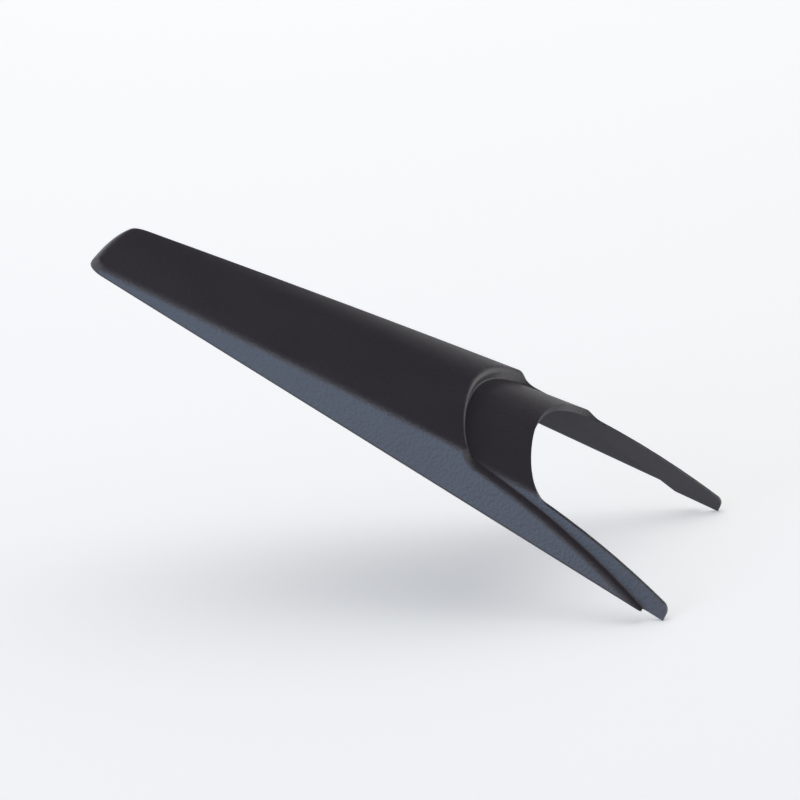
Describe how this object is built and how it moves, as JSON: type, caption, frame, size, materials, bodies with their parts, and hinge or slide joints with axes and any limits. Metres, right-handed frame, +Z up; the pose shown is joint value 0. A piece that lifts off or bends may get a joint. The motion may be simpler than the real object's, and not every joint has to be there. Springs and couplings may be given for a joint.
{
  "type": "motorcycle mudguard extender",
  "caption": "Tapered black plastic shell that lengthens a motorcycle's rear mudguard: crowned panel, flared side walls, rounded tail and a stepped lap at the front.",
  "frame": {"origin": "middle of the lap's outer face, on the centre line, where the extender is bonded under the mudguard's trailing edge", "axes": "+X forward along the bike, +Y to the bike's left, +Z up, with the part tilted as it sits on the bike: its ridge falls 24 degrees towards the front"},
  "size_m": [0.2541, 0.1666, 0.1579],
  "materials": {
    "shell": "satin"
  },
  "bodies": {
    "root": {"mudguard_extender": "shell"}
  },
  "joints": []
}
